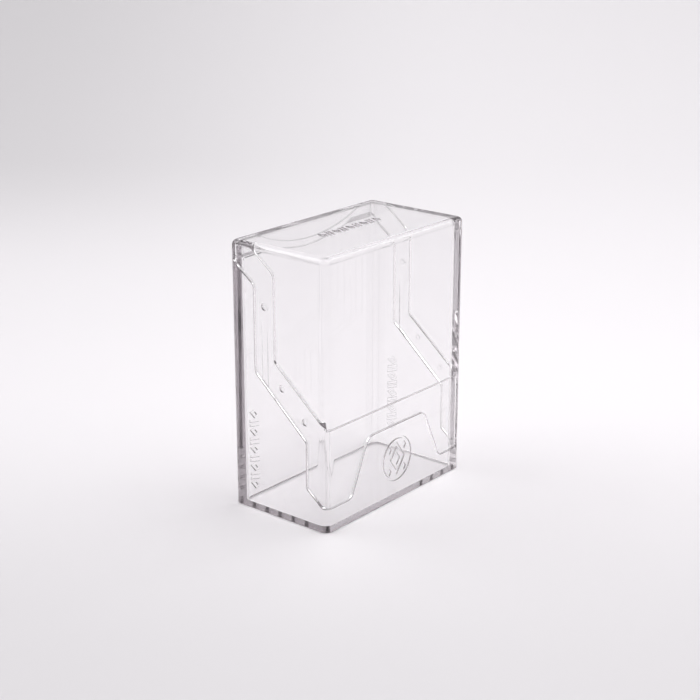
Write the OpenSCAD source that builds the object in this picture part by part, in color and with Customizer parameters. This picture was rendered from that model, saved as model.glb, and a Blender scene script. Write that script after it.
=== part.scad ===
// Clear deck box for trading cards, in two pressings: an open tray with a raised collar, and a
// lid that drops over the collar and closes flush with the tray.
// The origin is the middle of the underside, +Z is up, +Y goes from the front face to the back.

/* [Case] */
// Width of the case, along X
case_w = 79.4; // [76:0.2:100]
// Depth of the case, front to back
case_d = 44.5; // [43:0.5:70]
// Height of the closed case
case_h = 100; // [98.5:0.5:110]
// Radius of the four upright outer edges
upright_r = 2.75; // [2.25:0.25:3]
// Radius of the outer edges round the top
top_edge_r = 2; // [1:0.25:2]
// Radius of the outer edges round the underside
base_edge_r = 0.2; // [0.2:0.1:2]

/* [Walls] */
// Thickness of a whole side wall: lid skirt and tray collar together
wall_t = 3.4; // [3.2:0.1:3.8]
// Thickness of the lid's skirt, which is the outer layer of the wall
skirt_t = 1.7; // [1.4:0.1:1.9]
// Thickness of the tray's floor
floor_t = 1.2; // [1:0.1:3]
// Thickness of the lid's top plate
top_t = 2; // [1.5:0.25:2.75]
// Radius of the cavity's upright corners
cavity_r = 2.4; // [2.3:0.1:3]
// Radius round the cavity's floor
floor_r = 0.3; // [0.3:0.1:2.2]
// Radius round the inside of the lid's top
ceiling_r = 1; // [0.4:0.1:2.2]

/* [Fit] */
// Gap between the collar and the lid's skirt
collar_gap = 0.15; // [0.13:0.01:0.25]
// Gap between the lid's edges and the tray's edges
edge_gap = 0.15; // [0.1:0.01:0.25]

/* [Lid edge on the side faces] */
// Height of the lid's two front feet above the base
foot_z = 8.9; // [7:0.1:10]
// Depth of a foot, back from the front face
foot_y = 9.5; // [8:0.1:11]
// Height at which the foot's rear edge starts upwards
heel_z = 14.85; // [14:0.05:17]
// Height at which the foot's rear edge turns back
knee_z = 32.2; // [28:0.1:34]
// Place of the lid's rear upright edge, back from the front face
leg_y = 33.2; // [32:0.1:35]
// Height at which the rear upright edge starts
hip_z = 53.2; // [50:0.1:58]
// Height at which the rear upright edge ends
shoulder_z = 85.2; // [80:0.1:86]
// Height of the lid's edge at the back corners
crown_z = 93.7; // [92:0.1:94]

/* [Collar edge on the side faces] */
// Height of the collar along the front wall
collar_front_z = 37.8; // [36:0.1:42]
// Place where the collar's edge starts to rise, back from the front face
collar_toe_y = 0.9; // [0.5:0.1:3]
// Place of the collar's upright edge, back from the front face
collar_leg_y = 24.9; // [24:0.1:27]
// Height at which the collar's upright edge starts
collar_hip_z = 58.2; // [57:0.1:62]
// Height at which the collar's upright edge ends
collar_shoulder_z = 90.1; // [88:0.1:91]

/* [Front notch] */
// Width of the notch between the lid's feet, at the foot
notch_foot_w = 52; // [48:0.5:56]
// Width of the notch at its top
notch_top_w = 32.6; // [28:0.2:36]
// Height of the notch's top
notch_z = 29.7; // [27:0.1:32]

/* [Finger dip in the back wall] */
// Radius of the dip
dip_r = 68; // [60:1:80]
// Height of the collar at the middle of the dip
dip_z = 91.7; // [90:0.1:93]
// How far the lid's edge runs below the collar's edge along the dip
dip_band = 2.8; // [2:0.1:4]

/* [Latches] */
// Radius of a latch stud on the collar
stud_r = 1; // [0.8:0.1:1.2]
// How far a stud stands off the collar
stud_h = 0.1; // [0.05:0.01:0.11]
// Radius of the dimple in the lid that a stud lies in
dimple_r = 1.45; // [1.2:0.05:1.6]
// Depth of the dimple
dimple_h = 0.5; // [0.2:0.05:0.6]
// Width of the lead-in groove below the upper dimple
groove_w = 2.6; // [2:0.1:3]
// Depth of the lead-in groove
groove_h = 0.35; // [0.2:0.05:0.5]

/* [Decoration] */
// Depth of the engraved marks
mark_h = 0.4; // [0.2:0.05:0.6]
// Radius of the round mark on the front
medal_r = 8.6; // [7:0.1:9]
// Height of the middle of the round mark
medal_z = 16.2; // [15:0.1:18]
// Length of the row of marks on the lid
top_row_l = 35; // [28:0.5:36]
// Length of the rows of marks on the sides
side_row_l = 32; // [28:0.5:36]
// Height of one mark in a row
row_h = 4.7; // [3:0.1:5]

/* [Hidden] */
$fn = 64;
fillet_steps = 6; // straight stretches in each rounded corner of an outline
over = 1; // how far a cutting solid runs past what it cuts
clear = [0.9, 0.91, 0.94, 0.35];
front_y = -case_d / 2;
back_y = case_d / 2;
side_x = case_w / 2;
ceiling_z = case_h - top_t;
collar_top_z = ceiling_z - edge_gap;
collar_slope = 0.77; // rise over run of the collar's edge above its shoulder
collar_lean = (collar_top_z - collar_shoulder_z) / collar_slope;
row_count = 9; // marks in a row
dimple_ball_r = (pow(dimple_r, 2) + pow(dimple_h, 2)) / (2 * dimple_h); // of the ball that cuts a dimple
latch_points = [[28.9, 78], [21, 49.5], [10.5, 39.5]]; // from the front face, and height
groove_top_z = 72; // where the lead-in groove has run out
groove_ramp_z = 62; // where it starts to run out

// Outlines of the tray's two layers seen from the side: [from the front face, height, corner radius].
skin_points = [
    [-over, -over, 0],
    [-over, foot_z, 0],
    [2, foot_z, 1.2],
    [foot_y, heel_z, 1.2],
    [foot_y, knee_z, 2],
    [leg_y, hip_z, 2.5],
    [leg_y, shoulder_z, 2.5],
    [case_d, crown_z, 0],
    [case_d + over, crown_z, 0],
    [case_d + over, -over, 0]
];
collar_points = [
    [-over, -over, 0],
    [-over, collar_front_z, 0],
    [collar_toe_y, collar_front_z, 0],
    [collar_leg_y, collar_hip_z, 2],
    [collar_leg_y, collar_shoulder_z, 4],
    [collar_leg_y + collar_lean, collar_top_z, 4],
    [case_d + over, collar_top_z, 0],
    [case_d + over, -over, 0]
];

function unit(v) = v / norm(v);
function spin(v, a) = [v.x * cos(a) - v.y * sin(a), v.x * sin(a) + v.y * cos(a)];

// The corner b of an outline, on the way from a to c, rounded to radius r.
function corner(a, b, c, r) =
    r == 0 ? [b] :
    let (
        u = unit(a - b),
        v = unit(c - b),
        half = acos(u * v) / 2,
        centre = b + unit(u + v) * r / sin(half),
        start = b + u * r / tan(half) - centre,
        turn = sign(cross(v, u)) * (180 - 2 * half)
    )
    [for (i = [0:fillet_steps]) centre + spin(start, turn * i / fillet_steps)];

function flat(p) = [p.x, p.y];

// A closed outline through points given as [x, y, corner radius].
function outline(points) =
    let (n = len(points))
    [for (i = [0:n - 1])
        each corner(flat(points[(i + n - 1) % n]), flat(points[i]), flat(points[(i + 1) % n]),
                    points[i].z)];

// Extrudes an outline drawn in Y and Z along X, from x0 to x1.
module along_x(x0, x1) {
    translate([x0, 0, 0]) rotate([90, 0, 90]) linear_extrude(x1 - x0) children();
}

// Extrudes an outline drawn in X and Z along Y, from y0 to y1.
module along_y(y0, y1) {
    translate([0, y1, 0]) rotate([90, 0, 0]) linear_extrude(y1 - y0) children();
}

// A rectangle with its corners rounded to radius r, about the origin.
module rounded_rectangle(w, d, r) {
    square([w - 2 * r, d], center = true);
    square([w, d - 2 * r], center = true);
    for (x = [-1, 1], y = [-1, 1])
        translate([x * (w / 2 - r), y * (d / 2 - r)]) circle(r);
}

// The cross-section of a block of width w: rounded to r_low at z0 and to r_high at z1.
module upright_section(w, z0, z1, r_low, r_high) {
    polygon(outline([
        [-w / 2, z0, r_low],
        [w / 2, z0, r_low],
        [w / 2, z1, r_high],
        [-w / 2, z1, r_high]
    ]));
}

// A block with r_side on its upright edges, r_low round the bottom and r_high round the top,
// both of them smaller than r_side.
module soft_block(w, d, z0, z1, r_side, r_low, r_high) {
    straight_x = w / 2 - r_side;
    straight_y = d / 2 - r_side;
    for (x = [-1, 1], y = [-1, 1])
        translate([x * straight_x, y * straight_y, 0])
            rotate_extrude()
                intersection() {
                    upright_section(2 * r_side, z0, z1, r_low, r_high);
                    translate([0, z0]) square([r_side, z1 - z0]);
                }
    along_x(-straight_x, straight_x) upright_section(d, z0, z1, r_low, r_high);
    along_y(-straight_y, straight_y) upright_section(w, z0, z1, r_low, r_high);
}

module outer_block() {
    soft_block(case_w, case_d, 0, case_h, upright_r, base_edge_r, top_edge_r);
}

module cavity() {
    soft_block(case_w - 2 * wall_t, case_d - 2 * wall_t, floor_t, ceiling_z,
               cavity_r, floor_r, ceiling_r);
}

// The upright block inside the lid's skirt, smaller by gap all round.
module core(gap) {
    inset = skirt_t + gap;
    translate([0, 0, base_edge_r])
        linear_extrude(case_h - top_t - base_edge_r)
            rounded_rectangle(case_w - 2 * inset, case_d - 2 * inset, upright_r - inset + 0.2);
}

// The dip in the back wall, its lowest point at low_z.
module dip(low_z, r) {
    translate([0, back_y - wall_t - over, low_z + r])
        rotate([-90, 0, 0]) cylinder(r = r, h = wall_t + 2 * over, $fn = 180);
}

// Everything below one of the two side outlines, moved up and forwards by gap.
module below(points, gap) {
    translate([0, front_y - gap, gap])
        along_x(-case_w, case_w) polygon(outline(points));
}

// The space that the tray's outer layer fills, with the tongue that rises in the front notch.
module skin_zone(gap) {
    difference() {
        below(skin_points, gap);
        dip(dip_z - dip_band + gap, dip_r);
    }
    along_y(front_y - over, front_y + wall_t)
        polygon(outline([
            [-notch_foot_w / 2 - 4 - gap, foot_z + gap, 0],
            [-notch_foot_w / 2 - gap, foot_z + gap, 3],
            [-notch_top_w / 2 - gap, notch_z + gap, 4],
            [notch_top_w / 2 + gap, notch_z + gap, 4],
            [notch_foot_w / 2 + gap, foot_z + gap, 3],
            [notch_foot_w / 2 + 4 + gap, foot_z + gap, 0],
            [notch_foot_w / 2 + 4 + gap, foot_z - over, 0],
            [-notch_foot_w / 2 - 4 - gap, foot_z - over, 0]
        ]));
}

// The space that the tray's collar fills.
module collar_zone(gap) {
    reach = wall_t + cavity_r; // how far the level part runs back from the front face
    mitre = gap * sqrt(2);
    difference() {
        below(collar_points, gap);
        dip(dip_z + gap, dip_r);
        // along the front wall the edge is level, with its ends mitred into the corners
        translate([0, front_y, collar_front_z + gap])
            linear_extrude(case_h)
                polygon([
                    [mitre - side_x - over, -over],
                    [side_x + over - mitre, -over],
                    [side_x - reach - mitre, reach],
                    [mitre + reach - side_x, reach]
                ]);
    }
}

// Places its children at every latch, with +Z pointing out of the wall, x from the centre plane.
module at_latches(x) {
    for (side = [0, 1], p = latch_points)
        mirror([side, 0, 0])
            translate([x, front_y + p.x, p.y]) rotate([0, 90, 0]) children();
}

// The groove in the skirt that leads the upper stud to its dimple, run out at its top.
module lead_in_grooves() {
    inner_x = side_x - skirt_t;
    for (side = [0, 1])
        mirror([side, 0, 0])
            along_y(front_y + latch_points[0].x - groove_w / 2,
                    front_y + latch_points[0].x + groove_w / 2)
                polygon([
                    [inner_x - over, foot_z],
                    [inner_x + groove_h, foot_z],
                    [inner_x + groove_h, groove_ramp_z],
                    [inner_x, groove_top_z],
                    [inner_x - over, groove_top_z]
                ]);
}

// One diamond, s high.
module pip(s) {
    polygon([[0, s / 2], [s * 0.36, 0], [0, -s / 2], [-s * 0.36, 0]]);
}

// One slanted bar, s high.
module slant(s) {
    polygon([[-s * 0.3, -s / 2], [-s * 0.08, -s / 2], [s * 0.3, s / 2], [s * 0.08, s / 2]]);
}

// A row of diamonds and slanted bars by turns, of the given length along X about the origin.
module mark_row(length) {
    pitch = (length - row_h) / (row_count - 1);
    for (i = [0:row_count - 1])
        translate([(i - (row_count - 1) / 2) * pitch, 0])
            if (i % 2 == 0)
                difference() {
                    pip(row_h);
                    pip(row_h * 0.45);
                }
            else
                for (dx = [-1, 1]) translate([dx * row_h * 0.17, 0]) slant(row_h);
}

// The round mark: a ring, a diamond inside it and a small diamond in each quarter.
module medal() {
    difference() {
        circle(medal_r);
        circle(medal_r * 0.9);
    }
    difference() {
        pip(medal_r * 1.5);
        pip(medal_r * 1.12);
    }
    pip(medal_r * 0.6);
    for (x = [-1, 1], y = [-1, 1])
        translate([x * medal_r * 0.5, y * medal_r * 0.5]) pip(medal_r * 0.36);
}

module front_mark() {
    along_y(front_y - over, front_y + mark_h)
        translate([0, medal_z]) medal();
}

module side_marks() {
    for (side = [0, 1])
        mirror([side, 0, 0])
            along_x(side_x - mark_h, side_x + over)
                translate([back_y - 10.5, 23.5]) rotate(90) mark_row(side_row_l);
}

module top_marks() {
    translate([0, 0, case_h - mark_h]) linear_extrude(mark_h + over) mark_row(top_row_l);
}

module tray() {
    color(clear) {
        difference() {
            union() {
                intersection() {
                    outer_block();
                    skin_zone(0);
                }
                intersection() {
                    core(collar_gap);
                    collar_zone(0);
                }
            }
            cavity();
            front_mark();
            side_marks();
        }
        at_latches(side_x - skirt_t - collar_gap - 0.5)
            cylinder(r1 = stud_r, r2 = stud_r - 0.2, h = 0.5 + stud_h);
    }
}

module lid() {
    color(clear)
        difference() {
            outer_block();
            skin_zone(edge_gap);
            intersection() {
                core(0);
                collar_zone(edge_gap);
            }
            cavity();
            at_latches(side_x - skirt_t + dimple_h - dimple_ball_r) sphere(dimple_ball_r);
            lead_in_grooves();
            top_marks();
        }
}

tray();
lid();
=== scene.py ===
import math

import bpy
from mathutils import Matrix, Vector


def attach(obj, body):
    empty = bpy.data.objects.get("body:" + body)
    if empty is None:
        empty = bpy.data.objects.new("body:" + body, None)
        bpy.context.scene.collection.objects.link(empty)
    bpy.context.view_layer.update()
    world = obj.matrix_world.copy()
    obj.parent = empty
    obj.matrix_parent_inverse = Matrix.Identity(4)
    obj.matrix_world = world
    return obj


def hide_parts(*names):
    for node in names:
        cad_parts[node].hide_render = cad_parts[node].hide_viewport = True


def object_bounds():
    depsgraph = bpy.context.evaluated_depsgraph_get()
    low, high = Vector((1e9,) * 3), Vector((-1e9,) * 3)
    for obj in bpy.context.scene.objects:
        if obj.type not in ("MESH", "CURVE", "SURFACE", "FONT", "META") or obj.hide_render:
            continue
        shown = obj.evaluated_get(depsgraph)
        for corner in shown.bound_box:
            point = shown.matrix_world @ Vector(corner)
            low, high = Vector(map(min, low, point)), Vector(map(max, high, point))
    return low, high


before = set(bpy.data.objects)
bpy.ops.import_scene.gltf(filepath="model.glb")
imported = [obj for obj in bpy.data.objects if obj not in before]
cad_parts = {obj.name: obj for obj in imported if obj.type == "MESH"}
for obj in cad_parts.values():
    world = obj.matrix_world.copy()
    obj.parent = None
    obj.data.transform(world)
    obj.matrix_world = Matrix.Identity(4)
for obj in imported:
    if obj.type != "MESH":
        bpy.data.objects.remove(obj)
cad_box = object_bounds()
bpy.ops.object.select_all(action="DESELECT")


# Tray
# The lower pressing of the box, with its floor, its full-thickness skin and the thinner collar.
# Real ones are injection moulded in water-clear styrene or acrylic, in a polished tool.
# The finish is glossy all over, with faint haze, flow lines and hairline scratches from handling.
clear_ior = 1.5
tint = (0.51, 0.465, 0.495, 1)
tint_density = 21  # per metre: times what tint falls short of white, it gives the absorption
haze_scale = 45
haze_detail = 4
haze_span = (0.45, 0.75)  # the noise's levels at the clearest and the haziest patches
haze_low = 0.0  # the roughness of the clearest patches
haze_high = 0.035
hairline_tilts = (0.5, -1.1)
hairline_lean = 0.6  # the part of a tilt that is taken about Y
hairline_stretch = (4200, 3800, 26)
hairline_span = (0.8, 0.9)  # the noise's levels at a hairline's edge and its middle
hairline_depth = 0.12  # beside a ripple's height of 1
hairline_roughness = 0.05
ripple_scale = 60
ripple_detail = 1
ripple_height = 0.000004
merge_gap = 0.000001
dissolve_angle = math.radians(0.5)
edge_r = 0.00014  # the tiny rounding that every moulded edge has
edge_segments = 2
sharp_angle = math.radians(32)
smooth_angle = math.radians(35)
flat_weight = 100  # the large faces alone set the shading of their own corners


def add_node(tree, kind, **values):
    """A new node of the tree, with the settings given."""
    node = tree.nodes.new(kind)
    for name, value in values.items():
        setattr(node, name, value)
    return node


def polished_finish():
    """The wear of a polished moulding: a roughness, and a height for the bump."""
    tree = bpy.data.node_groups.new("polished_finish", "ShaderNodeTree")
    tree.interface.new_socket("Roughness", in_out="OUTPUT", socket_type="NodeSocketFloat")
    tree.interface.new_socket("Height", in_out="OUTPUT", socket_type="NodeSocketFloat")
    out = add_node(tree, "NodeGroupOutput")
    place = add_node(tree, "ShaderNodeTexCoord")

    # haze: soft patches, some 20 mm across
    patches = add_node(tree, "ShaderNodeTexNoise")
    patches.inputs["Scale"].default_value = haze_scale
    patches.inputs["Detail"].default_value = haze_detail
    tree.links.new(place.outputs["Object"], patches.inputs["Vector"])
    haze = add_node(tree, "ShaderNodeMapRange")
    haze.inputs["From Min"].default_value = haze_span[0]
    haze.inputs["From Max"].default_value = haze_span[1]
    haze.inputs["To Min"].default_value = haze_low
    haze.inputs["To Max"].default_value = haze_high
    tree.links.new(patches.outputs["Fac"], haze.inputs["Value"])

    # hairlines: noise drawn out along two slanting directions, of which only the peaks are kept
    marks = []
    for tilt in hairline_tilts:
        stretch = add_node(tree, "ShaderNodeMapping")
        stretch.inputs["Rotation"].default_value = (tilt, tilt * hairline_lean, tilt)
        stretch.inputs["Scale"].default_value = hairline_stretch
        tree.links.new(place.outputs["Object"], stretch.inputs["Vector"])
        fibres = add_node(tree, "ShaderNodeTexNoise")
        fibres.inputs["Scale"].default_value = 1
        fibres.inputs["Detail"].default_value = 0
        tree.links.new(stretch.outputs["Vector"], fibres.inputs["Vector"])
        peaks = add_node(tree, "ShaderNodeMapRange")
        peaks.inputs["From Min"].default_value = hairline_span[0]
        peaks.inputs["From Max"].default_value = hairline_span[1]
        tree.links.new(fibres.outputs["Fac"], peaks.inputs["Value"])
        marks.append(peaks)
    scratches = add_node(tree, "ShaderNodeMath", operation="MAXIMUM")
    tree.links.new(marks[0].outputs["Result"], scratches.inputs[0])
    tree.links.new(marks[1].outputs["Result"], scratches.inputs[1])

    # flow lines: the melt's broad, very shallow ripples
    ripples = add_node(tree, "ShaderNodeTexNoise")
    ripples.inputs["Scale"].default_value = ripple_scale
    ripples.inputs["Detail"].default_value = ripple_detail
    tree.links.new(place.outputs["Object"], ripples.inputs["Vector"])
    height = add_node(tree, "ShaderNodeMath", operation="MULTIPLY_ADD")
    height.inputs[1].default_value = -hairline_depth
    tree.links.new(scratches.outputs["Value"], height.inputs[0])
    tree.links.new(ripples.outputs["Fac"], height.inputs[2])

    # scuffs: the haze, and the hairlines' own roughness on top of it
    scuffs = add_node(tree, "ShaderNodeMath", operation="MULTIPLY_ADD")
    scuffs.inputs[1].default_value = hairline_roughness
    tree.links.new(scratches.outputs["Value"], scuffs.inputs[0])
    tree.links.new(haze.outputs["Result"], scuffs.inputs[2])
    tree.links.new(scuffs.outputs["Value"], out.inputs["Roughness"])
    tree.links.new(height.outputs["Value"], out.inputs["Height"])
    return tree


def clear_material():
    """Water-clear plastic that darkens with depth, with the polished finish."""
    material = bpy.data.materials.new("clear_plastic")
    material.use_nodes = True
    tree = material.node_tree
    shader = tree.nodes["Principled BSDF"]
    shader.inputs["Base Color"].default_value = (1, 1, 1, 1)
    shader.inputs["IOR"].default_value = clear_ior
    shader.inputs["Transmission Weight"].default_value = 1
    depth = add_node(tree, "ShaderNodeVolumeAbsorption")
    depth.inputs["Color"].default_value = tint
    depth.inputs["Density"].default_value = tint_density
    tree.links.new(depth.outputs["Volume"], tree.nodes["Material Output"].inputs["Volume"])
    finish = add_node(tree, "ShaderNodeGroup", node_tree=finish_group)
    bump = add_node(tree, "ShaderNodeBump")
    bump.inputs["Strength"].default_value = 1
    bump.inputs["Distance"].default_value = ripple_height
    tree.links.new(finish.outputs["Height"], bump.inputs["Height"])
    tree.links.new(finish.outputs["Roughness"], shader.inputs["Roughness"])
    tree.links.new(bump.outputs["Normal"], shader.inputs["Normal"])
    return material


finish_group = polished_finish()
clear_plastic = clear_material()


def moulding(node_name, piece_name):
    """The visual piece of one pressing: the exact shape, with every edge softened."""
    bpy.ops.object.select_all(action="DESELECT")
    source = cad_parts[node_name]
    source.select_set(True)
    bpy.context.view_layer.objects.active = source
    bpy.ops.object.duplicate()
    piece = bpy.context.view_layer.objects.active
    piece.name = piece_name
    piece.parent = None
    piece.matrix_world = Matrix.Identity(4)
    bpy.ops.object.mode_set(mode="EDIT")
    bpy.ops.mesh.select_all(action="SELECT")
    bpy.ops.mesh.remove_doubles(threshold=merge_gap)
    bpy.ops.mesh.dissolve_limited(angle_limit=dissolve_angle)
    bpy.ops.object.mode_set(mode="OBJECT")
    edges = piece.modifiers.new("edges", "BEVEL")
    edges.width = edge_r
    edges.segments = edge_segments
    edges.limit_method = "ANGLE"
    edges.angle_limit = sharp_angle
    edges.use_clamp_overlap = False
    bpy.ops.object.modifier_apply(modifier="edges")
    bpy.ops.object.shade_smooth_by_angle(angle=smooth_angle)
    flats = piece.modifiers.new("flats", "WEIGHTED_NORMAL")
    flats.mode = "FACE_AREA"
    flats.weight = flat_weight
    flats.keep_sharp = True
    bpy.ops.object.modifier_apply(modifier="flats")
    piece.data.materials.clear()
    piece.data.materials.append(clear_plastic)
    bpy.ops.object.select_all(action="DESELECT")
    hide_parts(node_name)
    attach(piece, node_name)


moulding("tray", "tray_moulding")


# Lid
# The upper pressing, with its top plate and the skirt that drops over the collar, in the same plastic.
# It comes from the same kind of polished tool and is held only by the moulded studs and by friction.
moulding("lid", "lid_moulding")


# Stage
# A sweep of matt paper: level under the box, and curving up from 0.16 m behind its middle.
# Painted shade in the paper's colour stands in for the light falling off towards the front and up the
# curve, more on the left than on the right.
view_turn = math.radians(-50.444)
view_rise = math.radians(18.889)
floor_drop = 0.0002  # a hair below the box, so that the two surfaces never coincide
sweep_front = -0.6
sweep_curve = 0.16
sweep_r = 0.35
sweep_top = 0.9
sweep_half_w = 1.4
sweep_steps = 24
paper_color = (0.91, 0.895, 0.91, 1)
paper_roughness = 0.9
front_shade_span = (-0.16, 0.1)  # painted shade: from in front of the box, where the paper is painted darker, to behind it
front_shade_ends = (0.8, 1)
left_shade_span = (-0.25, 0.06)  # painted shade: from the darker left to just right of the middle
left_shade_ends = (0.9, 1)
foot_span = (0.004, 0.056)  # the heights over which the painted shade up the curve sets in
head_span = (0.13, 0.2)  # the heights over which it ends
curve_shade_span = (-0.24, 0.1)
curve_shade_ends = (-0.2, -0.04)  # the painted shade up the curve, at the left and at the right
tooth_scale = 1800
tooth_strength = 0.08
tooth_height = 0.0001


def ramp(tree, value, span, ends):
    """A smooth change between the two ends, as the value goes through its span."""
    node = add_node(tree, "ShaderNodeMapRange", interpolation_type="SMOOTHSTEP")
    node.inputs["From Min"].default_value = span[0]
    node.inputs["From Max"].default_value = span[1]
    node.inputs["To Min"].default_value = ends[0]
    node.inputs["To Max"].default_value = ends[1]
    tree.links.new(value, node.inputs["Value"])
    return node.outputs["Result"]


def product(tree, a, b):
    """The product of two values."""
    node = add_node(tree, "ShaderNodeMath", operation="MULTIPLY")
    tree.links.new(a, node.inputs[0])
    tree.links.new(b, node.inputs[1])
    return node.outputs["Value"]


def paper_material():
    """Matt paper whose colour carries the light's fall-off, with a fine tooth."""
    material = bpy.data.materials.new("paper")
    material.use_nodes = True
    tree = material.node_tree
    shader = tree.nodes["Principled BSDF"]
    shader.inputs["Roughness"].default_value = paper_roughness
    shader.inputs["Specular IOR Level"].default_value = 0
    place = add_node(tree, "ShaderNodeTexCoord")
    axes = add_node(tree, "ShaderNodeSeparateXYZ")
    tree.links.new(place.outputs["Object"], axes.inputs["Vector"])
    # painted shade: the paper's colour is darkened towards the front, to the left and up the curve
    front_shade = ramp(tree, axes.outputs["Y"], front_shade_span, front_shade_ends)
    left_shade = ramp(tree, axes.outputs["X"], left_shade_span, left_shade_ends)
    foot = ramp(tree, axes.outputs["Z"], foot_span, (0, 1))
    head = ramp(tree, axes.outputs["Z"], head_span, (1, 0))
    climb = product(tree, foot, head)
    curve_shade = ramp(tree, axes.outputs["X"], curve_shade_span, curve_shade_ends)
    curve = add_node(tree, "ShaderNodeMath", operation="MULTIPLY_ADD")
    curve.inputs[2].default_value = 1
    tree.links.new(climb, curve.inputs[0])
    tree.links.new(curve_shade, curve.inputs[1])
    shade = product(tree, product(tree, front_shade, left_shade), curve.outputs["Value"])
    color = add_node(tree, "ShaderNodeMix", data_type="RGBA")
    color.inputs["A"].default_value = (0, 0, 0, 1)
    color.inputs["B"].default_value = paper_color
    tree.links.new(shade, color.inputs["Factor"])
    tree.links.new(color.outputs["Result"], shader.inputs["Base Color"])
    tooth = add_node(tree, "ShaderNodeTexNoise")
    tooth.inputs["Scale"].default_value = tooth_scale
    tree.links.new(place.outputs["Object"], tooth.inputs["Vector"])
    bump = add_node(tree, "ShaderNodeBump")
    bump.inputs["Strength"].default_value = tooth_strength
    bump.inputs["Distance"].default_value = tooth_height
    tree.links.new(tooth.outputs["Fac"], bump.inputs["Height"])
    tree.links.new(bump.outputs["Normal"], shader.inputs["Normal"])
    return material


profile = [(sweep_front, 0), (sweep_curve, 0)]
for step in range(1, sweep_steps + 1):
    angle = math.radians(90 * step / sweep_steps)
    profile.append((sweep_curve + sweep_r * math.sin(angle), sweep_r * (1 - math.cos(angle))))
profile.append((sweep_curve + sweep_r, sweep_top))
sweep_points = []
for along, height in profile:
    sweep_points.append((-sweep_half_w, along, height))
    sweep_points.append((sweep_half_w, along, height))
sweep_faces = []
for step in range(len(profile) - 1):
    sweep_faces.append((2 * step, 2 * step + 1, 2 * step + 3, 2 * step + 2))
sweep_mesh = bpy.data.meshes.new("sweep")
sweep_mesh.from_pydata(sweep_points, [], sweep_faces)
sweep_mesh.polygons.foreach_set("use_smooth", [True] * len(sweep_faces))
sweep_mesh.materials.append(paper_material())
sweep = bpy.data.objects.new("sweep", sweep_mesh)
bpy.context.collection.objects.link(sweep)
sweep.location = (0, 0, -floor_drop)
sweep.rotation_euler = (0, 0, view_turn)


# Lights
# A bright tent all round, which is dimmer on its open side, where the camera stands.
# Three soft boxes point at the box: one overhead, one to the right, and one behind to the left.
tent_color = (1, 0.98, 1, 1)
tent_span = (0, 0.9)  # the cosine of the angle from the open side's middle
tent_ends = (0.92, 0.42)


def soft_box(name, place, width, height, radiance):
    """An area light that points at the box."""
    light = bpy.data.lights.new(name, "AREA")
    light.shape = "RECTANGLE"
    light.size = width
    light.size_y = height
    light.energy = radiance * math.pi * width * height
    lamp = bpy.data.objects.new(name, light)
    bpy.context.collection.objects.link(lamp)
    lamp.location = place
    lamp.rotation_euler = (-Vector(place)).to_track_quat("-Z", "Y").to_euler()


soft_box("overhead", place=(0.16, -0.19, 0.8), width=0.5, height=0.5, radiance=2.15)
soft_box("right", place=(0.95, -0.1, 0.62), width=0.7, height=0.5, radiance=2.7)
soft_box("back_left", place=(-0.34, 0.62, 0.76), width=0.6, height=0.5, radiance=2.4)
tent = bpy.data.worlds.new("tent")
tent.use_nodes = True
tent_light = tent.node_tree.nodes["Background"]
tent_light.inputs["Color"].default_value = tent_color
tent_way = add_node(tent.node_tree, "ShaderNodeTexCoord")
tent_open = add_node(tent.node_tree, "ShaderNodeVectorMath", operation="DOT_PRODUCT")
tent_open.inputs[1].default_value = (math.sin(view_turn), -math.cos(view_turn), 0)
tent.node_tree.links.new(tent_way.outputs["Generated"], tent_open.inputs[0])
tent_strength = ramp(tent.node_tree, tent_open.outputs["Value"], tent_span, tent_ends)
tent.node_tree.links.new(tent_strength, tent_light.inputs["Strength"])
bpy.context.scene.world = tent


# Camera
# It stands 0.57 m from the middle of the box, off its left front corner, and looks down on it a little.
# The walls pass light on to each other many times, so each ray is followed through many bounces.
camera_back = 0.5712
camera_right = -0.00006
camera_up = 0.00323
lens_mm = 79.6
sensor_mm = 36
light_bounces = 32
middle = (Vector(cad_box[0]) + Vector(cad_box[1])) / 2
back = Vector((
    math.sin(view_turn) * math.cos(view_rise),
    -math.cos(view_turn) * math.cos(view_rise),
    math.sin(view_rise),
))
right = Vector((math.cos(view_turn), math.sin(view_turn), 0))
up = back.cross(right)
camera_place = middle + back * camera_back + right * camera_right + up * camera_up
camera = bpy.data.objects.new("camera", bpy.data.cameras.new("camera"))
bpy.context.collection.objects.link(camera)
camera.matrix_world = Matrix.Translation(camera_place) @ Matrix((right, up, back)).transposed().to_4x4()
camera.data.lens = lens_mm
camera.data.sensor_width = sensor_mm
bpy.context.scene.camera = camera
bpy.context.scene.view_settings.view_transform = "Standard"
bpy.context.scene.cycles.max_bounces = light_bounces
bpy.context.scene.cycles.transmission_bounces = light_bounces
bpy.context.scene.cycles.glossy_bounces = light_bounces
bpy.context.scene.cycles.blur_glossy = 0
